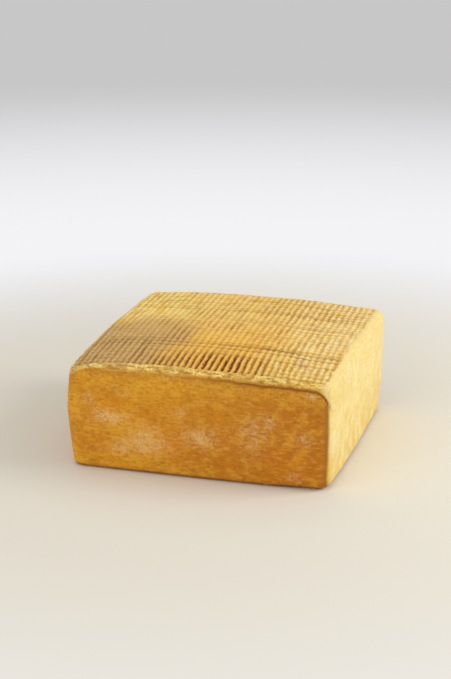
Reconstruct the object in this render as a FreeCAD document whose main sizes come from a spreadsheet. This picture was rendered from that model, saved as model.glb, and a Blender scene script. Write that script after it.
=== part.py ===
"""A whole maroilles: a square, soft, washed-rind cheese, ripened on ribbed draining mats.

The cheese is one solid.  Its four sides swell a little and draw in towards the foot, its
top is crowned higher towards the back, and its shoulder and foot are rounded.  The mat
has left rows of ribs on the top and on the underside, parted by seams that cross them.

Frame: +Z up, the front face towards -Y, the origin under the middle of the square.
Millimetres.
"""

import FreeCAD, Part
import os

import Sketcher

NODE = "maroilles_cheese"
FLAT = 1e-6  # what still counts as level, in millimetres
LEAST_CUT, MOST_CUT = 0.8, 1.2  # shares of the print's reckoned volume

SIZES = [
    # alias, value, what it is
    ("width", 128.5, "side to side, between the middles of the side faces"),
    ("depth", 128.0, "front to back, between the middles of the faces"),
    ("side_swell", 0.8, "how far the middle of a face stands proud of its corners"),
    ("corner_radius", 6.5, "rounding of the four upright corners"),
    ("apex_height", 56.6, "thickness at the highest point of the crowned top"),
    ("apex_x", -4.0, "where the highest point lies, side to side"),
    ("apex_y", 12.0, "where the highest point lies, front to back"),
    ("crown_radius", 800.0, "radius of the ball that the crowned top is part of"),
    ("shoulder_radius", 3.4, "rounding of the edge round the top"),
    ("foot_radius", 3.0, "rounding of the edge round the underside"),
    ("foot_inset", 1.2, "how far the sides draw in at the foot"),
    ("waist_height", 13.0, "height of the waist section"),
    ("waist_inset", 0.4, "how far the sides draw in at the waist"),
    ("belly_height", 31.0, "height of the widest section"),
    ("brow_height", 47.0, "height of the brow section, under the shoulder"),
    ("brow_inset", 0.25, "how far the sides draw in at the brow"),
    ("blank_height", 63.0, "height of the blank that the crowned top is cut from"),
    ("blank_inset", 1.0, "how far the sides draw in at the top of the blank"),
    ("rib_pitch", 3.05, "from one rib of the mat's print to the next"),
    ("rib_width", 1.9, "width of the valley between two ribs"),
    ("rib_depth", 0.75, "depth of the valley between two ribs"),
    ("seam_pitch", 36.0, "from one cross seam of the mat's print to the next"),
    ("seam_width", 1.5, "width of a cross seam"),
    ("seam_depth", 0.9, "depth of a cross seam"),
    ("mat_turn", 2.5, "degrees by which the mat lay askew on the top"),
    ("rim_gap", 1.2, "bare strip between the print and the rounded edge beside it"),
    ("cutter_rise", 1.0, "how far the cutting profiles stand above the surface"),
]


def sizes_sheet(doc):
    """The driving dimensions, one row each: name, value and meaning."""
    sheet = doc.addObject("Spreadsheet::Sheet", "Sizes")
    for row, (alias, value, meaning) in enumerate(SIZES, start=1):
        sheet.set(f"A{row}", alias)
        sheet.set(f"B{row}", str(value))
        sheet.set(f"C{row}", meaning)
        sheet.setAlias(f"B{row}", alias)
    doc.recompute()
    return sheet


def origin_plane(body, role):
    """One of the body's three origin planes."""
    return [f for f in body.Origin.OriginFeatures if f.Role == role][0]


def place_on(item, plane, hinge=FreeCAD.Vector(0, 0, 1), lean=None):
    """Lays a sketch or plane on another plane, leaning about the hinge if asked."""
    item.AttachmentSupport = [(plane, "")]
    item.MapMode = "FlatFace"
    first_lean = FreeCAD.Rotation(hinge, 1.0 if lean else 0.0)
    item.AttachmentOffset = FreeCAD.Placement(FreeCAD.Vector(), first_lean)
    if lean:
        item.setExpression("AttachmentOffset.Rotation.Angle", lean)


def new_sketch(body, name, role, offset):
    """A sketch on one of the body's origin planes, moved in its own frame."""
    sketch = body.newObject("Sketcher::SketchObject", name)
    place_on(sketch, origin_plane(body, role))
    for axis, expression in zip("xyz", offset):
        sketch.setExpression(f"AttachmentOffset.Base.{axis}", expression)
    return sketch


def driven(sketch, name, constraint, expression):
    """Adds a named dimension to a sketch and binds it to an expression."""
    index = sketch.addConstraint(constraint)
    sketch.renameConstraint(index, name)
    sketch.setExpression(f"Constraints.{name}", expression)


def bow(half_length, swell):
    """The radius of an arc that stands `swell` proud over twice the half length."""
    return (half_length**2 + swell**2) / (2 * swell)


def plan_section(body, sheet, name, height, inset):
    """The outline at one height: four shallow arcs with four round corners between.

    A face's arc stands `side_swell` proud over half the face's length, so its radius is
    (half length squared + swell squared) / (2 swell), centred on the other side's axis.
    The corners are tangent to the faces on both sides.
    """
    sketch = new_sketch(body, name, "XY_Plane", ("0 mm", "0 mm", height))
    swell, corner = sheet.side_swell, sheet.corner_radius
    # each face: its outward direction, the size across it and the size along it
    faces = [
        (FreeCAD.Vector(0, -1), "depth", "width"),
        (FreeCAD.Vector(1, 0), "width", "depth"),
        (FreeCAD.Vector(0, 1), "depth", "width"),
        (FreeCAD.Vector(-1, 0), "width", "depth"),
    ]
    ends = []
    for outward, across, along in faces:
        onward = FreeCAD.Vector(-outward.y, outward.x)
        half_across, half_along = getattr(sheet, across) / 2, getattr(sheet, along) / 2
        radius = bow(half_along, swell)
        straight = half_along - swell - corner
        sag = radius - (radius**2 - straight**2) ** 0.5
        foot = outward * (half_across - sag)
        ends.append((foot - onward * straight, foot + onward * straight))
    for side, (outward, across, along) in enumerate(faces):
        start, end = ends[side]
        following, next_start = faces[(side + 1) % 4][0], ends[(side + 1) % 4][0]
        middle = outward * (getattr(sheet, across) / 2)
        sketch.addGeometry(Part.Arc(start, middle, end), False)
        pivot = end - outward * corner
        bend = pivot + (outward + following).normalize() * corner
        sketch.addGeometry(Part.Arc(end, bend, next_start), False)
    for side, (outward, across, along) in enumerate(faces):
        arc, turn, after = 2 * side, 2 * side + 1, (2 * side + 2) % 8
        on_axis = -2 if outward.y else -1
        sketch.addConstraint(Sketcher.Constraint("PointOnObject", arc, 3, on_axis))
        radius = bow(getattr(sheet, along) / 2, swell)
        round_text = (
            f"((Sizes.{along} / 2)^2 + Sizes.side_swell^2) / (2 * Sizes.side_swell)"
        )
        bowed = Sketcher.Constraint("Radius", arc, radius)
        driven(sketch, f"radius_{side}", bowed, round_text)
        kind = "DistanceY" if outward.y else "DistanceX"
        reach = radius - getattr(sheet, across) / 2
        points = (-1, 1, arc, 3) if outward.x + outward.y < 0 else (arc, 3, -1, 1)
        centred = Sketcher.Constraint(kind, *points, reach)
        reach_text = f"{round_text} - (Sizes.{across} / 2 - ({inset}))"
        driven(sketch, f"centre_{side}", centred, reach_text)
        sketch.addConstraint(Sketcher.Constraint("Tangent", arc, 2, turn, 1))
        sketch.addConstraint(Sketcher.Constraint("Tangent", turn, 2, after, 1))
        rounded = Sketcher.Constraint("Radius", turn, corner)
        driven(sketch, f"corner_{side}", rounded, "Sizes.corner_radius")
    return sketch


def slab(body, sheet):
    """The slab: a loft through five outlines, from the foot up past the crowned top."""
    sections = [
        ("FootSection", "0 mm", "Sizes.foot_inset"),
        ("WaistSection", "Sizes.waist_height", "Sizes.waist_inset"),
        ("BellySection", "Sizes.belly_height", "0"),
        ("BrowSection", "Sizes.brow_height", "Sizes.brow_inset"),
        ("BlankSection", "Sizes.blank_height", "Sizes.blank_inset"),
    ]
    outlines = [plan_section(body, sheet, *section) for section in sections]
    body.Document.recompute()
    loft = body.newObject("PartDesign::AdditiveLoft", "Slab")
    loft.Profile = outlines[0]
    loft.Sections = outlines[1:]
    loft.Ruled = False
    return loft


def face_edges(shape, chosen):
    """The names of the edges round those faces of a shape that a test picks."""
    found = [edge for face in shape.Faces if chosen(face) for edge in face.Edges]
    names = []
    for number, edge in enumerate(shape.Edges, start=1):
        if any(edge.isSame(other) for other in found):
            names.append(f"Edge{number}")
    return names


def is_crown(face):
    """True for a face that is part of a ball."""
    return face.Surface.TypeId == "Part::GeomSphere"


def is_base(face):
    """True for the flat face at the foot."""
    return face.BoundBox.ZMax < FLAT and face.BoundBox.ZLength < FLAT


def round_edges(body, name, edges, radius):
    """A fillet on the named edges of the body's last feature, bound to a size."""
    last = body.Tip
    fillet = body.newObject("PartDesign::Fillet", name)
    fillet.Base = (last, edges)
    fillet.setExpression("Radius", radius)
    body.Document.recompute()
    return fillet


def polygon(sketch, points, positions):
    """A closed chain of straight lines, each point held by two expressions.

    An expression gives the point's distance from an axis of the sketch, without a sign.
    A point with a zero lies on that axis.
    """
    count = len(points)
    vectors = [FreeCAD.Vector(*point) for point in points]
    for i in range(count):
        sketch.addGeometry(Part.LineSegment(vectors[i], vectors[(i + 1) % count]), False)
    for i in range(count):
        joint = Sketcher.Constraint("Coincident", i, 2, (i + 1) % count, 1)
        sketch.addConstraint(joint)
    for i, (point, held) in enumerate(zip(points, positions)):
        for kind, value, expression in zip(("DistanceX", "DistanceY"), point, held):
            if not value:
                axis = -2 if kind == "DistanceX" else -1
                sketch.addConstraint(Sketcher.Constraint("PointOnObject", i, 1, axis))
                continue
            ends = (-1, 1, i, 1) if value > 0 else (i, 1, -1, 1)
            constraint = Sketcher.Constraint(kind, *ends, abs(value))
            driven(sketch, f"{kind.lower()}_{i}", constraint, expression)


def crown(body, sheet):
    """The crowned top: what lies outside a large ball is turned away.

    The sketch stands on the ball's centre, which lies one crown radius under the apex.
    """
    rise = "Sizes.apex_height - Sizes.crown_radius"
    centre = ("Sizes.apex_x", rise, "-Sizes.apex_y")
    sketch = new_sketch(body, "CrownSection", "XZ_Plane", centre)
    radius = sheet.crown_radius
    reach = sheet.width + sheet.depth
    lift = radius + sheet.blank_height
    halfway = reach / 2
    axis_point = FreeCAD.Vector(0, radius)
    far_point = FreeCAD.Vector(reach, (radius**2 - reach**2) ** 0.5)
    middle = FreeCAD.Vector(halfway, (radius**2 - halfway**2) ** 0.5)
    top_far, top_axis = FreeCAD.Vector(reach, lift), FreeCAD.Vector(0, lift)
    sketch.addGeometry(Part.Arc(far_point, middle, axis_point), False)
    sketch.addGeometry(Part.LineSegment(axis_point, top_axis), False)
    sketch.addGeometry(Part.LineSegment(top_axis, top_far), False)
    sketch.addGeometry(Part.LineSegment(top_far, far_point), False)
    for i in range(4):
        joint = Sketcher.Constraint("Coincident", i, 2, (i + 1) % 4, 1)
        sketch.addConstraint(joint)
    sketch.addConstraint(Sketcher.Constraint("Coincident", 0, 3, -1, 1))
    sketch.addConstraint(Sketcher.Constraint("PointOnObject", 1, 1, -2))
    sketch.addConstraint(Sketcher.Constraint("Vertical", 1))
    sketch.addConstraint(Sketcher.Constraint("Horizontal", 2))
    sketch.addConstraint(Sketcher.Constraint("Vertical", 3))
    ball = Sketcher.Constraint("Radius", 0, radius)
    driven(sketch, "ball", ball, "Sizes.crown_radius")
    side = Sketcher.Constraint("DistanceX", 1, 2, 3, 1, reach)
    driven(sketch, "reach", side, "Sizes.width + Sizes.depth")
    top = Sketcher.Constraint("DistanceY", -1, 1, 2, 1, lift)
    driven(sketch, "lift", top, "Sizes.crown_radius + Sizes.blank_height")
    groove = body.newObject("PartDesign::Groove", "Crown")
    groove.Profile = sketch
    groove.ReferenceAxis = (sketch, ["V_Axis"])
    groove.Angle = 360.0
    body.Document.recompute()
    return groove


def notch(sketch, sheet, kind, on_top):
    """A three-sided cutter: its point lies one print depth inside the surface.

    The cutter's flanks run on past the surface, by `cutter_rise` in height.  On the top
    the surface lies one crown radius above the sketch's centre, and else on its axis.
    """
    width, depth = getattr(sheet, f"{kind}_width"), getattr(sheet, f"{kind}_depth")
    rise, radius = sheet.cutter_rise, sheet.crown_radius
    half = width / 2 * (depth + rise) / depth
    inner, outer = (radius - depth, radius + rise) if on_top else (depth, -rise)
    depth_text, rise_text = f"Sizes.{kind}_depth", "Sizes.cutter_rise"
    half_text = f"Sizes.{kind}_width / 2 * ({depth_text} + {rise_text}) / {depth_text}"
    inner_text = f"Sizes.crown_radius - {depth_text}" if on_top else depth_text
    outer_text = f"Sizes.crown_radius + {rise_text}" if on_top else rise_text
    points = [(0, inner), (half, outer), (-half, outer)]
    held = [("", inner_text), (half_text, outer_text), (half_text, outer_text)]
    polygon(sketch, points, held)


def print_plane(body, name, role, centre):
    """A plane through the crown's centre, swung about the vertical by the mat's turn."""
    plane = body.newObject("PartDesign::Plane", name)
    place_on(plane, origin_plane(body, role), FreeCAD.Vector(0, 1, 0), "Sizes.mat_turn")
    for axis, expression in zip("xyz", centre):
        plane.setExpression(f"AttachmentOffset.Base.{axis}", expression)
    return plane


def top_valley(body, sheet, kind, plane, rooms):
    """One valley of the top's print: a cutter lofted along a great circle of the ball.

    Its three sections lean about the plane's level axis: one stands upright over the
    apex, the others at the two ends of the print, as far off as there is room.
    """
    back, front = [f"asin(({room}) / Sizes.crown_radius)" for room in rooms]
    sections = []
    for name, lean in (("Start", f"-{back}"), ("Middle", None), ("End", front)):
        sketch = body.newObject("Sketcher::SketchObject", f"Top{kind.title()}{name}")
        place_on(sketch, plane, FreeCAD.Vector(1, 0, 0), lean)
        notch(sketch, sheet, kind, True)
        sections.append(sketch)
    body.Document.recompute()
    valley = body.newObject("PartDesign::SubtractiveLoft", f"Top{kind.title()}")
    valley.Profile = sections[0]
    valley.Sections = sections[1:]
    valley.Ruled = False
    body.Document.recompute()
    return valley


def turned_copies(body, valley, pitch, room, backwards):
    """Copies of a top valley about the crown's centre, as many as the room takes."""
    side = "Back" if backwards else "Fore"
    pattern = body.newObject("PartDesign::PolarPattern", f"{valley.Name}{side}")
    pattern.Originals = [valley]
    pattern.Axis = (valley.Sections[0][0], ["N_Axis"])
    pattern.Reversed = backwards
    pattern.setExpression("Occurrences", f"floor(({room}) / {pitch}) + 1")
    step = f"{pitch} / Sizes.crown_radius * 180 / pi"
    pattern.setExpression("Angle", f"floor(({room}) / {pitch}) * {step}")
    body.Tip = pattern
    body.Document.recompute()


def top_print(body, sheet):
    """The mat's print on the top: rows of ribs, and the seams that cross them.

    Each valley runs out over the rounded shoulder at both its ends.  The outermost
    valleys keep clear of the shoulder beside them, askew as they are.
    """
    rise = "Sizes.apex_height - Sizes.crown_radius"
    edge = "Sizes.brow_inset - Sizes.shoulder_radius - Sizes.rim_gap"
    across = f"Sizes.width / 2 - {edge} - Sizes.depth / 2 * sin(Sizes.mat_turn)"
    along = f"Sizes.depth / 2 - {edge} - Sizes.width / 2 * sin(Sizes.mat_turn)"
    run_out = "Sizes.depth / 2 + Sizes.shoulder_radius"
    centre = ("Sizes.apex_x", rise, "-Sizes.apex_y")
    plane = print_plane(body, "RibPlane", "XZ_Plane", centre)
    rooms = (f"{run_out} - Sizes.apex_y", f"{run_out} + Sizes.apex_y")
    rib = top_valley(body, sheet, "rib", plane, rooms)
    turned_copies(body, rib, "Sizes.rib_pitch", f"{across} + Sizes.apex_x", False)
    turned_copies(body, rib, "Sizes.rib_pitch", f"{across} - Sizes.apex_x", True)
    run_out = "Sizes.width / 2 + Sizes.shoulder_radius"
    centre = ("Sizes.apex_y", rise, "Sizes.apex_x")
    plane = print_plane(body, "SeamPlane", "YZ_Plane", centre)
    rooms = (f"{run_out} + Sizes.apex_x", f"{run_out} - Sizes.apex_x")
    seam = top_valley(body, sheet, "seam", plane, rooms)
    turned_copies(body, seam, "Sizes.seam_pitch", f"{along} + Sizes.apex_y", False)
    turned_copies(body, seam, "Sizes.seam_pitch", f"{along} - Sizes.apex_y", True)


def base_valley(body, sheet, kind, role, room):
    """One valley of the underside's print, half a pitch off the middle."""
    offset = (f"Sizes.{kind}_pitch / 2", "0 mm", "0 mm")
    sketch = new_sketch(body, f"Base{kind.title()}Section", role, offset)
    notch(sketch, sheet, kind, False)
    valley = body.newObject("PartDesign::Pocket", f"Base{kind.title()}")
    valley.Profile = sketch
    valley.SideType = "Symmetric"
    valley.setExpression("Length", f"2 * ({room})")
    body.Document.recompute()
    return valley


def level_copies(body, valley, pitch, room, backwards):
    """Copies of an underside valley in a row, as many as the room takes."""
    side = "Back" if backwards else "Fore"
    pattern = body.newObject("PartDesign::LinearPattern", f"{valley.Name}{side}")
    pattern.Originals = [valley]
    pattern.Direction = (valley.Profile[0], ["H_Axis"])
    pattern.Reversed = backwards
    start = f"{pitch} / 2" if backwards else f"-{pitch} / 2"
    steps = f"floor(({room} + {start}) / {pitch})"
    pattern.setExpression("Occurrences", f"{steps} + 1")
    pattern.setExpression("Length", f"{steps} * {pitch}")
    body.Tip = pattern
    body.Document.recompute()


def base_print(body, sheet):
    """The mat's print on the underside, laid square to the faces."""
    edge = "Sizes.side_swell - Sizes.foot_inset - Sizes.foot_radius - Sizes.rim_gap"
    across, along = f"Sizes.width / 2 - {edge}", f"Sizes.depth / 2 - {edge}"
    rib = base_valley(body, sheet, "rib", "XZ_Plane", along)
    level_copies(body, rib, "Sizes.rib_pitch", across, False)
    level_copies(body, rib, "Sizes.rib_pitch", across, True)
    seam = base_valley(body, sheet, "seam", "YZ_Plane", across)
    level_copies(body, seam, "Sizes.seam_pitch", along, False)
    level_copies(body, seam, "Sizes.seam_pitch", along, True)


def check(doc):
    """Stops the build where a feature failed or left no sound shape."""
    for item in doc.Objects:
        if "Invalid" in item.State or "Error" in item.State:
            raise RuntimeError(f"{item.Name}: {item.State}")
        if item.isDerivedFrom("PartDesign::Feature"):
            if item.Shape.isNull() or not item.Shape.isValid():
                raise RuntimeError(f"{item.Name}: unsound shape")


def check_print(body, sheet, plain_volume):
    """Stops the build where a valley of the print was lost or cut too much.

    A valley takes away half its width times its depth, over nearly the whole length of
    the cheese, and the first of each row is counted in both patterns that copy it.
    """
    counts = {"rib": 0, "seam": 0}
    for item in body.Group:
        if hasattr(item, "Occurrences"):
            kind = "seam" if "Seam" in item.Name else "rib"
            counts[kind] += item.Occurrences - 1 / 2
    expected = (
        counts["rib"] * sheet.rib_width * sheet.rib_depth * sheet.depth / 2
        + counts["seam"] * sheet.seam_width * sheet.seam_depth * sheet.width / 2
    )
    share = (plain_volume - body.Shape.Volume) / expected
    if not LEAST_CUT < share < MOST_CUT:
        raise RuntimeError(f"the print took away {share:.2f} of what it should")


def main():
    doc = FreeCAD.newDocument(NODE)
    sheet = sizes_sheet(doc)
    body = doc.addObject("PartDesign::Body", "Cheese")
    body.Label = NODE
    slab(body, sheet)
    crowned = crown(body, sheet)
    shoulder_edges = face_edges(crowned.Shape, is_crown)
    rounded = round_edges(body, "Shoulder", shoulder_edges, "Sizes.shoulder_radius")
    foot_edges = face_edges(rounded.Shape, is_base)
    plain = round_edges(body, "Foot", foot_edges, "Sizes.foot_radius")
    plain_volume = plain.Shape.Volume
    top_print(body, sheet)
    base_print(body, sheet)
    doc.recompute()
    check(doc)
    check_print(body, sheet, plain_volume)
    os.makedirs("parts", exist_ok=True)
    body.Shape.exportStep(f"parts/{body.Label}.step")
    print(f"{body.Label}: {body.Shape.Volume / 1000:.1f} ml")


main()
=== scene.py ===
"""A whole maroilles: its washed rind, and the floor, the lamps and the camera round it.

The rind is one closed skin, worked out in millimetres from the CAD solid's box.  A box of
lattice points is rounded at shoulder, foot and corners, swollen at the sides and crowned
on top.  Then it moves along its normals by the draining mat's print, the rim, the crease
under the rim and the small unevenness of a cheese that was turned and washed by hand.
"""

import math
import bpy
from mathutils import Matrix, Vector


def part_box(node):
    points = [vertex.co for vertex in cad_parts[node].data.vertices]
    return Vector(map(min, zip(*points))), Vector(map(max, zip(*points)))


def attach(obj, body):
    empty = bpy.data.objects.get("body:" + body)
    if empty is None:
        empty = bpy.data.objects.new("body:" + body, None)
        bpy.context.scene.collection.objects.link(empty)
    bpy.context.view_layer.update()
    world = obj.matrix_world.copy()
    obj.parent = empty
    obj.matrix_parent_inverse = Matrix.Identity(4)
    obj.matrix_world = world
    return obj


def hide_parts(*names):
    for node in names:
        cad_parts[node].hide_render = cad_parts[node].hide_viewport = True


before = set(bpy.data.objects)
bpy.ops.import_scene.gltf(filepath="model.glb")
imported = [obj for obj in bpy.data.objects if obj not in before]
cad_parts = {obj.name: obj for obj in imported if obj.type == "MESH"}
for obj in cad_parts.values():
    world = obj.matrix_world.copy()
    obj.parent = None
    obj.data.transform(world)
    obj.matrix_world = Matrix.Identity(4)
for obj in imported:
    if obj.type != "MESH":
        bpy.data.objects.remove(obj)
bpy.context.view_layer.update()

from types import SimpleNamespace

import bpy
import numpy as np
from mathutils import Vector

NODE = "maroilles_cheese"
METRE = 1000.0  # millimetres

# The cheese, in millimetres, from its solid's box.
BOX_LOW, BOX_HIGH = (np.array(corner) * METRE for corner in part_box(NODE))
HALF_WIDTH = (BOX_HIGH[0] - BOX_LOW[0]) / 2
HALF_DEPTH = (BOX_HIGH[1] - BOX_LOW[1]) / 2
THICKNESS = BOX_HIGH[2] - BOX_LOW[2]
CORNER_RADIUS = 6.5
SHOULDER_RADIUS = 3.4
FOOT_RADIUS = 3.0
FOOT_INSET = 1.2
BROW_INSET = 0.64
BELLY_HEIGHT = 31.0
SIDE_SWELL = 0.8
APEX_X, APEX_Y = -4.0, 12.0
CROWN_RADIUS = 800.0

# Where this cheese leaves that form: it sinks along the front, in the middle of the front
# and at the left-hand front, keeps its height at the rear, is fuller at the left and at
# the right-hand rear, and its foot is rounder at the right-hand front corner.
FRONT_SINK, MIDDLE_SINK, LEFT_SINK = 0.1, 0.6, 2.1
REAR_LIFT = 1.3
FULLNESS = 0.9
ROUNDER_FOOT = 2.5

# The draining mat's print: ribs that lean a little, rows of threads, and seams, each a
# place along Y and a depth from 0 to 1.
MAT_TURN = math.radians(2.5)
RIB_PITCH = 3.05
ROW_PITCH = 4.1
SEAMS = ((-41.5, 0.45), (-27.0, 1.0), (-9.0, 0.4), (10.0, 0.7), (30.5, 0.4), (48.5, 0.9))
SEAM_WIDTH = 0.6
BASE_SEAM_PITCH = 36.0
BASE_SEAM_WIDTH = 0.8

# How deep it goes: ribs where faint, what pressing and the bold band add, and the rest.
FAINT_DEPTH, PRESSED_DEPTH, BOLD_DEPTH = 0.12, 0.55, 0.75
SEAM_DEPTH, THREAD_DEPTH = 0.75, 0.5
BASE_RIB_DEPTH, BASE_SEAM_DEPTH = 0.6, 0.7

# The smooth rim that the print leaves free, on each side of the top and on the base, how
# far it reaches down, how full it is, and the crease under it.
RIM_LEFT, RIM_RIGHT, RIM_FRONT, RIM_BACK = 2.4, 4.4, 4.8, 2.6
RIM_BASE = 4.2
LIP = 2.0
RIM_FULLNESS = 0.35
CREASE_DEPTH = 0.6

# Soft marks on the front face: place across and up, half width, half height, strength.
SMEARS = (
    (-42.5, 27.0, 8.5, 3.6, 1.0),
    (-25.0, 14.5, 12.0, 4.2, 0.9),
    (-38.0, 11.0, 4.0, 2.4, 0.7),
    (1.5, 21.0, 9.0, 5.0, 0.85),
    (-51.5, 34.5, 4.0, 3.0, 0.5),
    (-35.5, 40.5, 5.5, 1.8, 0.4),
    (-8.5, 32.0, 5.0, 2.6, 0.45),
    (27.0, 24.0, 8.0, 9.0, 0.55),
    (50.5, 24.5, 5.0, 4.0, 0.45),
    (-12.0, 50.0, 3.0, 2.0, 0.8),
    (54.0, 45.5, 2.6, 1.6, 0.9),
    (-24.0, 21.0, 8.0, 4.0, 0.6),
    (35.0, 32.0, 3.0, 4.0, 0.6),
    (46.0, 5.5, 4.0, 2.0, 0.6),
)
EMBERS = (
    (-40.0, 34.0, 9.0, 4.0, 0.8),
    (-24.0, 29.0, 7.0, 4.0, 0.7),
    (-9.5, 18.5, 8.0, 7.0, 1.0),
    (14.0, 27.0, 8.0, 8.0, 0.6),
    (40.0, 14.0, 12.0, 7.0, 0.6),
    (-50.0, 14.0, 7.0, 8.0, 0.5),
)

# The lattice: columns on each rib, spans along the depth and the height, the side of the
# table of noise, and how far the columns are counted out from the apex.
COLUMNS_PER_RIB = 6
ALONG_DEPTH, ALONG_HEIGHT = 142, 34
CELLS = 32
COLUMNS_EACH_WAY = 400

# The fields that the rind's mesh carries for its colours.
ATTRIBUTES = (
    "print", "ribs", "rows", "seam", "pressed", "woven", "bold", "veil_and_shadow", "top", "sole",
    "rim", "lower", "under_rim", "shaded_crease", "right", "corner", "smear", "ember",
)

# Every colour, in steps of 0 to 255 of red, green and blue.
COLOURS = {
    "ochre": (228, 162, 38),
    "brown ochre": (194, 119, 26),
    "russet": (190, 114, 20),
    "gold": (226, 168, 50),
    "ember": (210, 120, 10),
    "upper gold": (236, 182, 58),
    "brown dot": (174, 102, 20),
    "dark brushing": (164, 98, 20),
    "pale brushing": (234, 182, 80),
    "smear": (228, 186, 124),
    "smear fleck": (242, 214, 164),
    # Darker brown for a band just under the rim on the front.
    "under rim brown": (186, 108, 28),
    "freckle": (228, 182, 104),
    # Deep straw to wisp colour the right-hand side: partly its own paler colour, partly
    # painted light from the right.
    "deep straw": (238, 204, 112),
    "straw": (247, 224, 150),
    "cream": (252, 238, 186),
    "butter": (240, 208, 112),
    "corn": (238, 202, 100),
    "wisp": (224, 180, 88),
    "left crest": (222, 176, 98),
    "middle crest": (255, 198, 84),
    "right crest": (250, 212, 104),
    "rear crest": (252, 216, 124),
    "left rear crest": (255, 228, 132),
    # Pale beads on the crests at the right: random pale tone, and painted highlight between
    # the threads.
    "pale bead and highlight": (255, 238, 176),
    "gold patch": (238, 180, 56),
    "brown patch": (218, 156, 74),
    # The veil at the front left of the top: partly grey mould, partly painted shadow.
    "veil_and_shadow": (190, 146, 76),
    "veil fleck": (230, 196, 128),
    # The grooves: partly the rind's colour in the valleys, partly painted shade there.
    "left groove": (136, 90, 38),
    "middle groove": (112, 52, 0),
    "right groove": (172, 112, 30),
    "rear groove": (184, 126, 40),
    "left rear groove": (208, 152, 62),
    "grime": (204, 148, 62),
    # Painted shade in the pits where a thread crosses a valley.
    "pit shade": (128, 74, 18),
    # The seams and the hem: partly the print's dark lines, partly painted shade in these
    # grooves.
    "seam": (140, 80, 22),
    "left rim": (222, 186, 118),
    "middle rim": (230, 184, 88),
    "right rim": (230, 186, 90),
    # Pale flecks on the rim: partly its own pale tone, partly painted highlight.
    "pale rim and highlight": (255, 230, 138),
    "rim gold": (200, 146, 50),
    "rim brown": (160, 106, 34),
    # Painted shade on the lower, front-facing half of the rim.
    "lower rim shade": (184, 128, 44),
    # The rim's right-hand end: partly its own pale colour, partly painted light from the
    # right.
    "pale lit corner rim": (246, 222, 148),
    # Painted shade in the crease under the rim.
    "shaded_crease": (124, 70, 22),
    "corner edge": (148, 98, 34),
    # Painted shadow where the cheese meets the floor.
    "foot shadow": (128, 78, 28),
    "foot fleck": (226, 190, 130),
    "paper": (232, 226, 212),
    "bright paper": (243, 243, 246),
    "far paper": (200, 199, 200),
    "white": (255, 255, 255),
}

# The rind's gloss, and the height of its grain in metres.
ROUGHNESS, ROUGHER, SPECULAR = 0.42, 0.25, 0.15
GRAIN_STRENGTH, GRAIN_HEIGHT = 0.4, 0.0006

# The studio: half the floor's side in metres and the strength of the light all round.
# Each lamp has a name, a place and a size in metres, and watts, and all face one place.
FLOOR_REACH = 3.0
ROOM_LIGHT = 0.66
LAMPS = (
    ("key_lamp", (0.60, 0.10, 0.46), 0.35, 2.2),
    ("fill_lamp", (-0.25, -0.7, 0.45), 0.6, 1.4),
)
LAMPS_AIM = (0.0, 0.0, 0.03)

# The camera: its swing to the right, its rise and its way off, then how far aside and up
# it aims, both in metres, and its sensor and lens in millimetres.
SWING, RISE, WAY_OFF = math.radians(15.9), math.radians(20.1), 0.760
AIM_ASIDE, AIM_UP = -0.0039, 0.04965
SENSOR_WIDTH, LENS = 36.0, 80.3


def smooth(value, low, high):
    """0 up to low, 1 from high on, and 3t^2 - 2t^3 at the part t of the way between."""
    t = np.clip((value - low) / (high - low), 0.0, 1.0)
    return t * t * (3.0 - 2.0 * t)


def bell(value, width):
    """1 at zero, falling as e^-(value / width)^2 on both sides."""
    return np.exp(-((value / width) ** 2))


def lines(value, pitch, sharp):
    """1 at lines one pitch apart and less between: 1 - |sin(pi value / pitch)|^sharp."""
    return 1.0 - np.abs(np.sin(math.pi * value / pitch)) ** sharp


def lumps(points, size, seed):
    """Smooth noise from -1 to 1: random heights at the corners of cubes of one size.

    Between the corners they are blended with 3t^2 - 2t^3 along each of the three axes.
    """
    table = np.random.default_rng(seed).uniform(-1.0, 1.0, (CELLS, CELLS, CELLS))
    cell = np.floor(points / size).astype(int)
    part = points / size - cell
    part = part * part * (3.0 - 2.0 * part)
    total = np.zeros(len(points))
    for corner in np.ndindex(2, 2, 2):
        share = np.prod(np.where(corner, part, 1.0 - part), axis=1)
        i, j, k = ((cell + corner) % CELLS).T
        total += share * table[i, j, k]
    return total


def ragged(place, pitch, seed):
    """One random number from -1 to 1 for each line, the lines lying one pitch apart."""
    table = np.random.default_rng(seed).uniform(-1.0, 1.0, CELLS * CELLS)
    return table[np.round(place / pitch).astype(int) % len(table)]


def spots(rows, x, z):
    """The sum of soft oval spots: each e^-(dx^2 / w^2 + dz^2 / h^2) times its strength."""
    return sum(s * bell(x - at_x, w) * bell(z - at_z, h) for at_x, at_z, w, h, s in rows)


def places(low, high, count, crowding):
    """count + 1 places from low to high, at equal steps of the crowding's running sum."""
    fine = np.linspace(low, high, 4001)
    reached = np.cumsum(crowding(fine))
    reached = (reached - reached[0]) / (reached[-1] - reached[0])
    return np.interp(np.linspace(0.0, 1.0, count + 1), reached, fine)


def box_skin(xs, ys, zs):
    """The skin of a box of lattice points: the points, and quads that face outwards.

    Each lattice point on a face has one number, so edges and corners are shared.  A
    face's numbers, as a table, give its quads; a turned table turns the quads over.
    """
    on_skin = np.zeros((len(xs), len(ys), len(zs)), bool)
    on_skin[[0, -1]] = on_skin[:, [0, -1]] = on_skin[:, :, [0, -1]] = True
    number = np.full(on_skin.shape, -1)
    number[on_skin] = np.arange(on_skin.sum())
    i, j, k = np.nonzero(on_skin)
    tables = [number[:, :, -1], number[:, :, 0].T, number[:, 0], number[:, -1].T]
    tables += [number[0].T, number[-1]]
    quads = [
        np.stack([t[:-1, :-1], t[1:, :-1], t[1:, 1:], t[:-1, 1:]], axis=-1).reshape(-1, 4)
        for t in tables
    ]
    return np.stack([xs[i], ys[j], zs[k]], axis=1), np.concatenate(quads)


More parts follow.
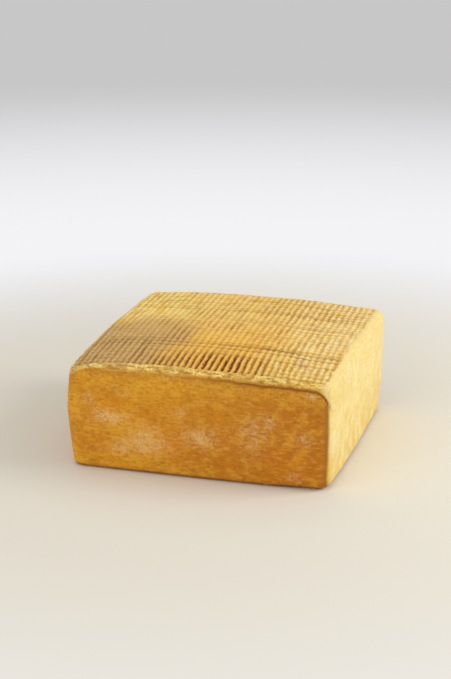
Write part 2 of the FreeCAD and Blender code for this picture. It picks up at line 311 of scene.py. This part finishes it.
def lattice():
    """The skin of a box of points, crowded at the seams, the shoulder and the foot.

    Columns lie at equal parts of the ribs' pitch from the apex, so that each rib has
    the same points across it.
    """
    step = RIB_PITCH / COLUMNS_PER_RIB
    columns = APEX_X + step * np.arange(-COLUMNS_EACH_WAY, COLUMNS_EACH_WAY + 1)
    columns = columns[np.abs(columns) < HALF_WIDTH - step]
    xs = np.concatenate([[-HALF_WIDTH], columns, [HALF_WIDTH]])

    def crowd_depth(y):
        near_edge = smooth(np.abs(y), HALF_DEPTH - 6.0, HALF_DEPTH - 4.0)
        at_seams = sum(depth * bell(y - place, 1.3) for place, depth in SEAMS)
        return 1.0 + 2.0 * at_seams + 1.4 * near_edge

    def crowd_height(z):
        near_foot = 1.0 - smooth(z, 4.0, 8.0)
        near_shoulder = smooth(z, THICKNESS - 10.0, THICKNESS - 7.0)
        return 1.0 + 1.6 * near_foot + 2.6 * near_shoulder

    ys = places(-HALF_DEPTH, HALF_DEPTH, ALONG_DEPTH, crowd_depth)
    zs = places(0.0, THICKNESS, ALONG_HEIGHT, crowd_height)
    return box_skin(xs, ys, zs)


def leaned(x, y):
    """Columns that lean with the mat inside the print and run square along the rim.

    The lean fades as 1 - p^14, with p the part of the way out to a side.
    """
    part_x, part_y = np.abs(x) / HALF_WIDTH, np.abs(y) / HALF_DEPTH
    inside = (1.0 - part_x**14) * (1.0 - part_y**14)
    return x - (y - APEX_Y) * math.tan(MAT_TURN) * inside


def eased(first, second, radius):
    """Rounds a square edge, given the distances inside its two faces.

    Measured from the round's centre, the square's offset (u, v) is scaled by
    max(u, v) / sqrt(u^2 + v^2), which turns the square into a quarter circle.
    """
    u, v = np.clip(radius - first, 0.0, None), np.clip(radius - second, 0.0, None)
    shrink = 1.0 - np.maximum(u, v) / np.maximum(np.hypot(u, v), 1e-9)
    shrink = np.where((u > 0) & (v > 0), shrink, 0.0)
    return first + u * shrink, second + v * shrink


def rounded(x, y, z):
    """The slab with its shoulder, its foot and its four upright corners rounded."""
    inward = np.minimum(HALF_WIDTH - np.abs(x), HALF_DEPTH - np.abs(y))
    new_inward, drop = eased(inward, THICKNESS - z, SHOULDER_RADIUS)
    at_corner = smooth(x, 30.0, 60.0) * smooth(-y, 30.0, 60.0)
    foot_radius = FOOT_RADIUS + ROUNDER_FOOT * at_corner
    new_inward, z = eased(new_inward, THICKNESS - drop, foot_radius)
    x = x * (HALF_WIDTH - new_inward) / (HALF_WIDTH - inward)
    y = y * (HALF_DEPTH - new_inward) / (HALF_DEPTH - inward)
    side_x, side_y = HALF_WIDTH - np.abs(x), HALF_DEPTH - np.abs(y)
    side_x, side_y = eased(side_x, side_y, CORNER_RADIUS)
    return np.sign(x) * (HALF_WIDTH - side_x), np.sign(y) * (HALF_DEPTH - side_y), z


def crown_height(x, y):
    """The crowned top: THICKNESS less the square of the way from the apex / 2R.

    It sinks a little more along the front and at the left-hand front, and less at the
    rear.
    """
    fall = ((x - APEX_X) ** 2 + (y - APEX_Y) ** 2) / (2.0 * CROWN_RADIUS)
    at_front = smooth(-y, 42.0, 63.0)
    at_left_front = smooth(-x, 47.0, 65.0) * smooth(-y, -32.0, 42.0)
    sink = (FRONT_SINK + MIDDLE_SINK * bell(x - 6.0, 52.0)) * at_front
    sink = sink + LEFT_SINK * at_left_front
    return THICKNESS - fall - sink + REAR_LIFT * smooth(y, 20.0, 62.0)


def swollen(x, y, z):
    """The rounded slab with its sides drawn in, swollen and filled out, and its crown.

    Foot and brow are drawn in by the square of the way from the belly, and a side falls
    back from its middle to its ends by the square of the part of the way along it.  The
    crown's fall grows with the height as its power 1.5.
    """
    below = np.clip(1.0 - z / BELLY_HEIGHT, 0.0, None) ** 2
    above = np.clip((z - BELLY_HEIGHT) / (THICKNESS - BELLY_HEIGHT), 0.0, None) ** 2
    inset = FOOT_INSET * below + BROW_INSET * above
    part_x, part_y = x / HALF_WIDTH, y / HALF_DEPTH
    new_x = x - part_x * inset - SIDE_SWELL * part_x**7 * part_y**2
    new_y = y - part_y * inset - SIDE_SWELL * part_y**7 * part_x**2
    at_left = smooth(-x, 40.0, 64.0) * bell(z - 33.0, 20.0)
    at_right_rear = smooth(x, 40.0, 64.0) * smooth(y, -20.0, 50.0) * smooth(z, 5.0, 35.0)
    new_x = new_x - FULLNESS * at_left + FULLNESS * at_right_rear
    new_z = z + (crown_height(x, y) - THICKNESS) * (z / THICKNESS) ** 1.5
    return new_x, new_y, new_z


def plain_cheese():
    """The cheese without its print: points and quads of a rounded, swollen slab."""
    points, quads = lattice()
    x, y, z = points.T
    return np.stack(swollen(*rounded(leaned(x, y), y, z)), axis=1), quads


def normals_of(points, quads):
    """Unit normals at the points: the sum of the cross products of quads' diagonals."""
    a, b, c, d = (points[quads[:, corner]] for corner in range(4))
    across = np.cross(c - a, d - b)
    total = np.zeros_like(points)
    for corner in range(4):
        np.add.at(total, quads[:, corner], across)
    return total / np.linalg.norm(total, axis=1, keepdims=True)


def mat_places(points):
    """Places across the ribs and along them, and how strongly each of the two shows.

    Both places wander by lumps of a few sizes, more so at the right, where the print is
    broken up.  Ribs and rows each have a strength of their own, between 0 and 1.
    """
    x, y, _ = points.T
    broken = 1.0 + 1.2 * smooth(x, 12.0, 44.0)
    wander = 0.45 * lumps(points, 26.0, 1) + 0.17 * lumps(points, 6.0, 2)
    wander = wander + 0.2 * broken * lumps(points, 2.4, 24)
    dx, dy = x - APEX_X, y - APEX_Y
    ribs = dx * math.cos(MAT_TURN) + dy * math.sin(MAT_TURN) + wander
    rows = y + 0.9 * lumps(points, 30.0, 12) + 0.4 * lumps(points, 5.0, 13)
    rows = rows + 0.3 * broken * lumps(points, 2.6, 25)
    rows = rows + 1.5 * bell(x - 42.0, 15.0)
    pressed = 0.55 + 0.25 * ragged(ribs, RIB_PITCH, 19) + 0.45 * lumps(points, 11.0, 21)
    pressed = pressed + 0.3 * broken * lumps(points, 3.5, 23)
    woven = 0.5 + 0.4 * ragged(rows, ROW_PITCH, 20) + 0.4 * lumps(points, 10.0, 22)
    base_ribs = x + RIB_PITCH / 2 + 0.3 * wander
    return ribs, rows, base_ribs, np.clip(pressed, 0.4, 1.0), np.clip(woven, 0.2, 1.0)


def mat_print(points, up):
    """The print on the top and the base: where it is, and the places across and along.

    "field" and "base" are 1 inside the print and end in an uneven line at the rim.
    "seam" is a bell at each seam, times the seam's depth, and "hem" one at the print's
    front end.  "ribs" and "rows" are the places across the ribs and along them.
    """
    x, y, _ = points.T
    on_top, on_base = smooth(up, 0.5, 0.75), smooth(-up, 0.55, 0.8)
    ribs, rows, base_ribs, pressed, woven = mat_places(points)
    seam = sum(depth * bell(rows - place, SEAM_WIDTH) for place, depth in SEAMS)
    seam = seam * (0.25 + 0.75 * smooth(x, -20.0, 30.0))
    seam = seam * (0.75 + 0.5 * lumps(points, 9.0, 17))

    soft = 0.45 * lumps(points, 8.0, 3)
    rib_ends, row_ends = ragged(ribs, RIB_PITCH, 14), ragged(rows, ROW_PITCH, 15)
    room_front = y + HALF_DEPTH - RIM_FRONT + 0.4 * rib_ends + soft
    room_back = HALF_DEPTH - RIM_BACK - y + 0.5 * rib_ends + soft
    room_left = x + HALF_WIDTH - RIM_LEFT + 0.4 * row_ends + soft
    room_right = HALF_WIDTH - RIM_RIGHT - x + 0.8 * row_ends + soft
    room = np.minimum.reduce([room_front, room_back, room_left, room_right])
    base_room = np.minimum(HALF_WIDTH - np.abs(x), HALF_DEPTH - np.abs(y)) - RIM_BASE + soft
    off_seam = np.abs(np.abs(y) - BASE_SEAM_PITCH / 2) + 0.3 * soft
    base_seam = bell(off_seam, BASE_SEAM_WIDTH)
    below = up < 0
    return {
        "field": smooth(room, -0.5, 0.7) * on_top,
        "base": smooth(base_room, -0.5, 0.9) * on_base,
        "ribs": np.where(below, base_ribs, ribs),
        "rows": rows,
        "seam": np.where(below, base_seam, np.clip(seam, 0.0, 1.0)),
        "pressed": pressed,
        "woven": woven,
        "top": on_top,
        "hem": bell(room_front - 0.2, 0.5) * on_top,
    }


def rim_marks(points, normals, drop):
    """Fields along the rim and under it, by how far the place drops below the crown.

    The rim's lower end, the lip, turns down by the cube of the way into the right-hand
    corner, and a little by its square at the left.  "front" is 1 on the front face.
    """
    x, y, z = points.T
    in_front = smooth(-normals[:, 1], 0.3, 0.8)
    turn = 12.0 * np.clip((x - 54.5) / 9.5, 0.0, 1.0) ** 3
    turn = turn + 2.5 * np.clip((-x - 54.0) / 9.0, 0.0, 1.0) ** 2
    lip = LIP + turn + 0.6 * lumps(points, 13.0, 5) + 0.4 * lumps(points, 4.0, 16)
    shaded_crease = bell(drop - lip - 1.1, 0.6) * smooth(-y, HALF_DEPTH - 5.5, HALF_DEPTH - 3.0)
    edge = bell(normals[:, 0] - 0.62, 0.17) * smooth(-normals[:, 1], 0.2, 0.5)
    return {
        "front": in_front,
        "rim": 1.0 - smooth(drop, lip - 1.8, lip + 1.8),
        # lower: the rim's lower part on the front, which the colours darken as painted
        # shade.
        "lower": smooth(drop, 0.8, 2.6) * in_front,
        # A band just under the rim on the front, which the colours make darker brown.
        "under_rim": bell(drop - lip - 1.6, 2.0) * in_front,
        # The crease under the rim, cut into the relief; the colours paint shade into it.
        "shaded_crease": shaded_crease * (0.15 + 0.85 * smooth(x, -12.0, 34.0)),
        "corner": edge * smooth(drop, lip + 0.5, lip + 4.0) * smooth(z, 0.5, 4.0),
    }


def rind_marks(points, normals):
    """Fields over the rind: what the relief and the colours both follow."""
    x, y, z = points.T
    drop = crown_height(x, y) - z
    marks = {**mat_print(points, normals[:, 2]), **rim_marks(points, normals, drop)}
    marks["drop"] = drop
    marks["print"] = np.maximum(marks["field"], marks["base"])
    marks["rim"] = (1.0 - marks["print"]) * marks["rim"]
    # The hem, where the ribs end at the front rim, joins the seams: it is cut into the
    # relief, and the colours darken it as painted shadow.
    at_ends = np.maximum(smooth(x, 30.0, 44.0), smooth(-x, 20.0, 40.0))
    hem = marks["hem"] * (0.6 + 0.4 * at_ends)
    marks["seam"] = np.maximum(marks["seam"], hem * (0.7 + 0.5 * lumps(points, 5.0, 18)))
    marks["sole"] = smooth(-normals[:, 2], 0.8, 0.96)
    marks["right"] = smooth(normals[:, 0], 0.62, 0.88)
    marks["bold"] = bell(x - 6.0, 36.0) * (1.0 - smooth(y, -54.0, -34.0))
    marks["smear"] = spots(SMEARS, x, z) * marks["front"]
    marks["ember"] = spots(EMBERS, x, z) * marks["front"]
    edge_x, edge_y = x + 7.0 * lumps(points, 9.0, 26), y + 8.0 * lumps(points, 11.0, 27)
    # The veil: the front left of the top, which the colours make greyer and darker, partly
    # mould and partly painted shadow.
    marks["veil_and_shadow"] = (1.0 - smooth(edge_x, -36.0, -4.0)) * (1.0 - smooth(edge_y, -18.0, 12.0))
    return marks


def relief(points, marks):
    """How far the rind stands out of the plain cheese, in millimetres, at each point."""
    z = points[:, 2]
    valley = lines(marks["ribs"], RIB_PITCH, 0.85)
    thread = lines(marks["rows"], ROW_PITCH, 0.6)
    depth = (FAINT_DEPTH + PRESSED_DEPTH * marks["pressed"]) + BOLD_DEPTH * marks["bold"]
    crossed = THREAD_DEPTH * thread * marks["woven"] * (1.0 - marks["bold"])
    out = -(depth * valley + SEAM_DEPTH * marks["seam"] + crossed) * marks["field"]
    out -= (BASE_RIB_DEPTH * valley + BASE_SEAM_DEPTH * marks["seam"]) * marks["base"]
    out -= CREASE_DEPTH * marks["shaded_crease"]
    full = bell(marks["drop"] - 1.2, 1.3) * (1.0 - marks["print"]) * marks["front"]
    out += RIM_FULLNESS * full

    on_side = 1.0 - np.maximum(marks["top"], 1.0 - smooth(z, 1.0, 4.0))
    out += 0.45 * lumps(points, 27.0, 6) * on_side
    out += 0.20 * lumps(points, 9.0, 7) * on_side
    out += 0.08 * lumps(points, 3.2, 8)
    out += 0.25 * lumps(points, 19.0, 9) * marks["top"]
    return out


def rind_piece(material):
    """The rind as one closed mesh, with its marks kept as attributes for the colours."""
    points, quads = plain_cheese()
    normals = normals_of(points, quads)
    marks = rind_marks(points, normals)
    shaped = points + normals * relief(points, marks)[:, None]
    shaped[:, 2] = np.clip(shaped[:, 2], 0.0, None)
    mesh = bpy.data.meshes.new("rind")
    mesh.from_pydata((shaped / METRE).tolist(), [], quads.tolist())
    for name in ATTRIBUTES:
        attribute = mesh.attributes.new(name, "FLOAT", "POINT")
        attribute.data.foreach_set("value", marks[name].astype(np.float32))
    mesh.shade_smooth()
    mesh.materials.append(material)
    piece = bpy.data.objects.new("rind", mesh)
    bpy.context.collection.objects.link(piece)
    return piece


class Value:
    """A node's output that can be reckoned with: each operator adds a Math node."""

    def __init__(self, shop, socket):
        self.shop, self.socket = shop, socket

    def math(self, operation, first, second=0.0):
        inputs = {0: first, 1: second}
        return self.shop.node("ShaderNodeMath", {"operation": operation}, inputs)

    def __add__(self, other):
        return self.math("ADD", self, other)

    def __radd__(self, other):
        return self.math("ADD", other, self)

    def __sub__(self, other):
        return self.math("SUBTRACT", self, other)

    def __rsub__(self, other):
        return self.math("SUBTRACT", other, self)

    def __mul__(self, other):
        return self.math("MULTIPLY", self, other)

    def __rmul__(self, other):
        return self.math("MULTIPLY", other, self)

    def __pow__(self, other):
        return self.math("POWER", self, other)

    def rises(self, low, high):
        """0 up to low, 1 from high on, and smooth between."""
        inputs = {"Value": self, "From Min": low, "From Max": high}
        settings = {"interpolation_type": "SMOOTHSTEP"}
        return self.shop.node("ShaderNodeMapRange", settings, inputs)

    def lines(self, pitch, sharp):
        """1 at lines one pitch apart and less between: 1 - |sin(pi value / pitch)|^sharp."""
        wave = self.math("SINE", self * (math.pi / pitch))
        return 1.0 - wave.math("ABSOLUTE", wave) ** sharp


class Shop:
    """The nodes of a material or of the world; node() adds any of them."""

    def __init__(self, owner):
        owner.use_nodes = True
        self.owner, self.tree = owner, owner.node_tree
        self.tree.nodes.clear()

    def node(self, kind, settings=None, inputs=None, output=0):
        """Adds a node, sets it, then fills or links its inputs; gives one output."""
        made = self.tree.nodes.new(kind)
        for name, setting in (settings or {}).items():
            setattr(made, name, setting)
        for key, value in (inputs or {}).items():
            if isinstance(value, Value):
                self.tree.links.new(value.socket, made.inputs[key])
            else:
                made.inputs[key].default_value = value
        return Value(self, made.outputs[output]) if made.outputs else None

    def mark(self, name):
        """One of the rind's own fields."""
        return self.node("ShaderNodeAttribute", {"attribute_name": name}, output="Fac")

    def place(self):
        """The place on the piece, in metres."""
        return self.node("ShaderNodeTexCoord", output="Object")

    def axis(self, name):
        """The place along one axis, in millimetres."""
        return self.node("ShaderNodeSeparateXYZ", None, {0: self.place()}, name) * METRE

    def grain(self, size, detail=3.0, stretch=(1.0, 1.0, 1.0), shift=0.0):
        """Noise from 0 to 1 with grains of one size in millimetres.

        Along each axis the size is multiplied by its stretch.
        """
        scale = [METRE / (size * part) for part in stretch]
        moved = {"Vector": self.place(), "Location": (shift, shift, shift), "Scale": scale}
        spot = self.node("ShaderNodeMapping", None, moved)
        inputs = {"Vector": spot, "Scale": 1.0, "Detail": detail}
        return self.node("ShaderNodeTexNoise", None, inputs)

    def blend(self, share, first, second):
        """Two colours mixed: the first at 0, the second at 1."""
        inputs = {0: share, 6: first, 7: second}
        return self.node("ShaderNodeMix", {"data_type": "RGBA"}, inputs, output=2)

    def layers(self, colour, *rows):
        """A colour under rows of (share, colour), each mixed over what is below it."""
        for share, over in rows:
            colour = self.blend(share, colour, over)
        return colour


def paint(name):
    """One of COLOURS as the linear colour that the shader reckons with."""
    steps = np.array(COLOURS[name]) / 255.0
    linear = np.where(steps <= 0.04045, steps / 12.92, ((steps + 0.055) / 1.055) ** 2.4)
    return (*linear.tolist(), 1.0)


def rind_fields(shop):
    """What the rind's colours share: the place, and noises from broad to fine.

    "to_middle", "to_right" and "to_back" rise from 0 to 1 on the way there, "brushed" and
    "wisps" are noises drawn out along the sides, and "threads" shows the print's threads.
    """
    x, y, z = shop.axis("X"), shop.axis("Y"), shop.axis("Z")
    fine = shop.grain(1.2, 4.0, shift=7.0)
    threads = (shop.mark("rows") + 1.6 * (fine - 0.5)).lines(ROW_PITCH, 0.6)
    threads = threads * shop.mark("woven")
    threads = threads * (1.0 - 0.8 * shop.mark("bold")) * shop.mark("print")
    return SimpleNamespace(
        x=x,
        y=y,
        z=z,
        to_middle=x.rises(-50.0, -14.0),
        to_right=x.rises(14.0, 52.0),
        to_back=y.rises(-34.0, 34.0),
        broad=shop.grain(17.0),
        middling=shop.grain(5.0, 4.0, shift=3.0),
        fine=fine,
        brushed=shop.grain(1.0, 4.0, (3.4, 3.4, 0.9), 11.0),
        wisps=shop.grain(1.7, 5.0, (2.0, 2.0, 0.8), 61.0),
        threads=threads,
    )


def side_colour(shop, at):
    """The sides: ochre going brown to the right, smeared, brushed and flecked."""
    freckles = shop.grain(2.0, 4.0, (2.2, 2.2, 1.0), 17.0)
    dots = shop.grain(1.4, 3.0, (1.3, 1.3, 1.0), 41.0)
    smear, ember, under_rim = shop.mark("smear"), shop.mark("ember"), shop.mark("under_rim")
    smeared = (smear + 2.4 * (at.wisps - 0.5) - 0.12).rises(0.0, 0.9)
    smeared = smeared * smear.rises(0.0, 0.3)
    return shop.layers(
        paint("ochre"),
        (at.x.rises(-64.0, 60.0), paint("brown ochre")),
        (at.broad.rises(0.42, 0.6) * 0.5, paint("russet")),
        (at.middling.rises(0.48, 0.66) * 0.5, paint("gold")),
        (ember * at.middling.rises(0.3, 0.6) * 0.75, paint("ember")),
        (at.z.rises(36.0, 50.0) * at.fine.rises(0.3, 0.6) * 0.6, paint("upper gold")),
        (dots.rises(0.5, 0.7) * 0.5, paint("brown dot")),
        (at.brushed.rises(0.5, 0.7) * 0.35, paint("dark brushing")),
        ((1.0 - at.brushed.rises(0.3, 0.46)) * 0.35, paint("pale brushing")),
        (smeared * 0.42, paint("smear")),
        (smear * at.fine.rises(0.5, 0.62) * 0.5, paint("smear fleck")),
        # Darker brown, mottled, in a band just under the rim on the front.
        (under_rim * at.middling.rises(0.35, 0.6) * 0.5, paint("under rim brown")),
        (freckles.rises(0.58, 0.74) * 0.3, paint("freckle")),
    )


def pale_and_lit_colour(shop, at):
    """The right-hand side: straw, paler towards the top; partly its own colour and partly
    painted light from the right.
    """
    columns = shop.grain(4.0, 4.0, (1.2, 1.2, 1.9), 23.0)
    return shop.layers(
        paint("deep straw"),
        (at.z.rises(0.0, 34.0), paint("straw")),
        (columns.rises(0.42, 0.64) * 0.6, paint("cream")),
        (at.broad.rises(0.45, 0.62) * 0.35, paint("butter")),
        (at.middling.rises(0.48, 0.66) * 0.4, paint("corn")),
        (at.wisps.rises(0.52, 0.7) * 0.35, paint("wisp")),
    )


def crest_colour(shop, at):
    """The print's crests: pale, patchy, and greyer under the veil at the front left, where
    the grey of the veil and of the left crest is partly mould and partly painted shadow.
    """
    patches = shop.grain(7.0, 3.0, (1.0, 1.6, 1.0), 31.0)
    veil_and_shadow = shop.mark("veil_and_shadow")
    return shop.layers(
        paint("left crest"),
        (at.to_middle, paint("middle crest")),
        (at.to_right, paint("right crest")),
        (at.to_back * 0.85, paint("rear crest")),
        ((1.0 - at.to_middle) * at.y.rises(-12.0, 20.0), paint("left rear crest")),
        (at.middling.rises(0.48, 0.66) * at.to_right * 0.85, paint("pale bead and highlight")),
        (patches.rises(0.5, 0.64) * 0.6, paint("gold patch")),
        ((1.0 - patches.rises(0.34, 0.48)) * 0.5, paint("brown patch")),
        # Partly painted shadow: the veil greys and darkens the front left of the top, partly
        # mould.
        (veil_and_shadow * 0.7, paint("veil_and_shadow")),
        (veil_and_shadow * at.fine.rises(0.4, 0.6) * 0.75, paint("veil fleck")),
    )


def groove_and_shade_colour(shop, at):
    """The print's valleys: dark brown, paler at the right and the rear; partly the rind's
    own colour and partly painted shade in the valleys.
    """
    return shop.layers(
        paint("left groove"),
        (at.to_middle, paint("middle groove")),
        (at.to_right, paint("right groove")),
        (at.to_back * 0.7, paint("rear groove")),
        ((1.0 - at.to_middle) * at.y.rises(-6.0, 24.0) * 0.8, paint("left rear groove")),
    )


def print_colour(shop, at):
    """The print: its crests, and over them its valleys, threads and seams.  The valleys,
    threads, pits and seams are darkened partly as painted shade, and the crests between the
    threads take painted highlights.
    """
    bold, groove_and_shade = shop.mark("bold"), groove_and_shade_colour(shop, at)
    valley = (shop.mark("ribs") + 1.2 * (at.fine - 0.5)).lines(RIB_PITCH, 1.6)
    pressed = 0.75 * shop.mark("pressed") + 0.7 * bold
    pressed = pressed * (1.0 - 0.3 * at.to_right)
    # Painted highlight: the crests between the threads at the right lightened to cream.
    crest_highlights = (1.0 - valley) * (1.0 - at.threads) * at.to_right * (1.0 - bold)
    return shop.layers(
        crest_colour(shop, at),
        (crest_highlights * 0.5, paint("pale bead and highlight")),
        (at.fine.rises(0.52, 0.66) * at.to_right * 0.5, paint("grime")),
        # Partly painted shade: valleys and thread rows darkened with the groove colour.
        (valley * pressed * at.fine.rises(0.0, 0.5), groove_and_shade),
        (at.threads * (0.5 + 0.25 * at.to_right), groove_and_shade),
        # Painted shade: darkest in the pits where a thread crosses a valley.
        (at.threads * valley * 0.8, paint("pit shade")),
        # Partly painted shade: the seams and the hem darkened, partly the print's own dark
        # lines.
        (shop.mark("seam") * 0.9, paint("seam")),
    )


def rim_colour(shop, at):
    """The smooth rim round the print: straw with brown brushed into it, pale flecks that are
    partly painted highlight, painted shade on its lower front half, and partly painted light
    at its right-hand end.
    """
    lower = shop.mark("lower")
    return shop.layers(
        paint("left rim"),
        (at.x.rises(-56.0, -20.0), paint("middle rim")),
        (at.x.rises(0.0, 50.0), paint("right rim")),
        # Partly painted highlight: pale flecks over the rim.
        (at.fine.rises(0.45, 0.58) * 0.85, paint("pale rim and highlight")),
        (at.middling.rises(0.46, 0.64) * 0.5, paint("rim gold")),
        (at.brushed.rises(0.48, 0.6) * 0.65, paint("rim brown")),
        # Painted shade: the lower half of the front rim darkened, mottled.
        (lower * at.fine.rises(0.4, 0.6) * 0.6, paint("lower rim shade")),
        # At the right-hand end the rim takes the straw of the right-hand side: partly its
        # own colour, partly painted light.
        (at.x.rises(55.0, 62.0) * 0.85, paint("pale lit corner rim")),
    )


def rind_colour(shop, at):
    """All the rind: its sides, and over them the rim, the print, the painted shade in the
    crease and at the foot, and so on.
    """
    # pale marks the right-hand side, whose straw is partly painted light from the right.
    pale = shop.mark("right") * (1.0 - shop.mark("top"))
    at_foot = 1.0 - shop.mark("sole")
    rim = shop.mark("rim") + 0.9 * (at.fine - 0.5) + 0.9 * (at.middling - 0.5)
    rim = rim.rises(0.3, 0.7) * shop.mark("rim").rises(0.0, 0.2)
    flecks = (1.0 - at.z.rises(1.0, 4.0)) * at.fine.rises(0.58, 0.7)
    # The right-hand side takes the paler straw, partly its own colour and partly painted
    # light from the right.
    sides = shop.blend(shop.mark("right"), side_colour(shop, at), pale_and_lit_colour(shop, at))
    return shop.layers(
        sides,
        (rim * (1.0 - pale), rim_colour(shop, at)),
        (shop.mark("print"), print_colour(shop, at)),
        # Painted shade: the crease under the rim darkened.
        (shop.mark("shaded_crease") * 0.85, paint("shaded_crease")),
        (shop.mark("corner") * (1.0 - pale) * 0.6, paint("corner edge")),
        # Painted contact shadow: the sides darkened within about 2.4 mm of the floor.
        (at_foot * (1.0 - at.z.rises(0.3, 2.4)) * 0.85, paint("foot shadow")),
        (at_foot * flecks * 0.5, paint("foot fleck")),
    )


def rind_material():
    """Washed rind: its colours, a dull gloss and a fine grain."""
    shop = Shop(bpy.data.materials.new("washed_rind"))
    at = rind_fields(shop)
    crisp = shop.mark("ribs").lines(RIB_PITCH, 0.8) * shop.mark("print")
    height = at.fine * 0.5 + at.brushed * 0.3 + at.middling * 0.4
    height = height - at.threads * 0.3 - crisp * 0.4
    grain = {"Strength": GRAIN_STRENGTH, "Distance": GRAIN_HEIGHT, "Height": height}
    inputs = {
        "Base Color": rind_colour(shop, at),
        "Roughness": ROUGHNESS + ROUGHER * at.middling,
        "Specular IOR Level": SPECULAR,
        "Normal": shop.node("ShaderNodeBump", None, grain),
    }
    skin = shop.node("ShaderNodeBsdfPrincipled", None, inputs)
    shop.node("ShaderNodeOutputMaterial", None, {"Surface": skin})
    return shop.owner


def paper_material():
    """Pale paper that is greyer far away, as if it swept up behind the cheese.

    Far away the camera and the gloss see a colour that gives its own light.
    """
    shop = Shop(bpy.data.materials.new("studio_paper"))
    along, aside = shop.axis("X"), shop.axis("Y")
    far = (along * along + aside * aside) ** 0.5
    near = shop.node("ShaderNodeBsdfDiffuse", None, {"Color": paint("paper")})
    glow = shop.blend(far.rises(450.0, 1500.0), paint("bright paper"), paint("far paper"))
    away = shop.node("ShaderNodeEmission", None, {"Color": glow})
    seen = shop.node("ShaderNodeLightPath", output="Is Camera Ray")
    seen = seen + shop.node("ShaderNodeLightPath", output="Is Glossy Ray")
    mixed = {0: far.rises(150.0, 430.0) * seen, 1: near, 2: away}
    sweep = shop.node("ShaderNodeMixShader", None, mixed)
    shop.node("ShaderNodeOutputMaterial", None, {"Surface": sweep})
    return shop.owner


def paper_floor():
    """The floor: one square of paper, which is no part of the cheese."""
    low, high = -FLOOR_REACH, FLOOR_REACH
    corners = [(low, low, 0.0), (high, low, 0.0), (high, high, 0.0), (low, high, 0.0)]
    mesh = bpy.data.meshes.new("floor")
    mesh.from_pydata(corners, [], [(0, 1, 2, 3)])
    mesh.materials.append(paper_material())
    floor = bpy.data.objects.new("floor", mesh)
    bpy.context.collection.objects.link(floor)


def surroundings():
    """Even white light from all round; the camera sees far paper in its place."""
    sky = Shop(bpy.data.worlds.new("studio"))
    bpy.context.scene.world = sky.owner
    room = {"Color": paint("white"), "Strength": ROOM_LIGHT}
    room = sky.node("ShaderNodeBackground", None, room)
    beyond = {"Color": paint("far paper"), "Strength": 1.0}
    beyond = sky.node("ShaderNodeBackground", None, beyond)
    seen = sky.node("ShaderNodeLightPath", output="Is Camera Ray")
    mixed = sky.node("ShaderNodeMixShader", None, {0: seen, 1: room, 2: beyond})
    sky.node("ShaderNodeOutputWorld", None, {"Surface": mixed})


def lamp(name, place, size, power):
    """A square soft lamp at a place in metres that faces the cheese."""
    data = bpy.data.lights.new(name, "AREA")
    data.size, data.energy = size, power
    made = bpy.data.objects.new(name, data)
    aim = (Vector(LAMPS_AIM) - Vector(place)).to_track_quat("-Z", "Y")
    made.location, made.rotation_euler = place, aim.to_euler()
    bpy.context.collection.objects.link(made)


def camera():
    """The camera: it looks down a little on the front face and the right-hand corner."""
    level = Vector((math.sin(SWING), -math.cos(SWING), 0.0))
    place = WAY_OFF * (math.cos(RISE) * level + Vector((0.0, 0.0, math.sin(RISE))))
    rightward = Vector((math.cos(SWING), math.sin(SWING), 0.0))
    target = AIM_ASIDE * rightward + Vector((0.0, 0.0, AIM_UP))
    data = bpy.data.cameras.new("camera")
    data.sensor_width, data.lens = SENSOR_WIDTH, LENS
    made = bpy.data.objects.new("camera", data)
    made.location = place
    made.rotation_euler = (target - place).to_track_quat("-Z", "Y").to_euler()
    bpy.context.collection.objects.link(made)
    bpy.context.scene.camera = made


def main():
    bpy.context.scene.view_settings.view_transform = "Standard"
    camera()
    paper_floor()
    surroundings()
    for name, place, size, power in LAMPS:
        lamp(name, place, size, power)
    rind = rind_piece(rind_material())
    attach(rind, "root")
    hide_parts(NODE)


main()
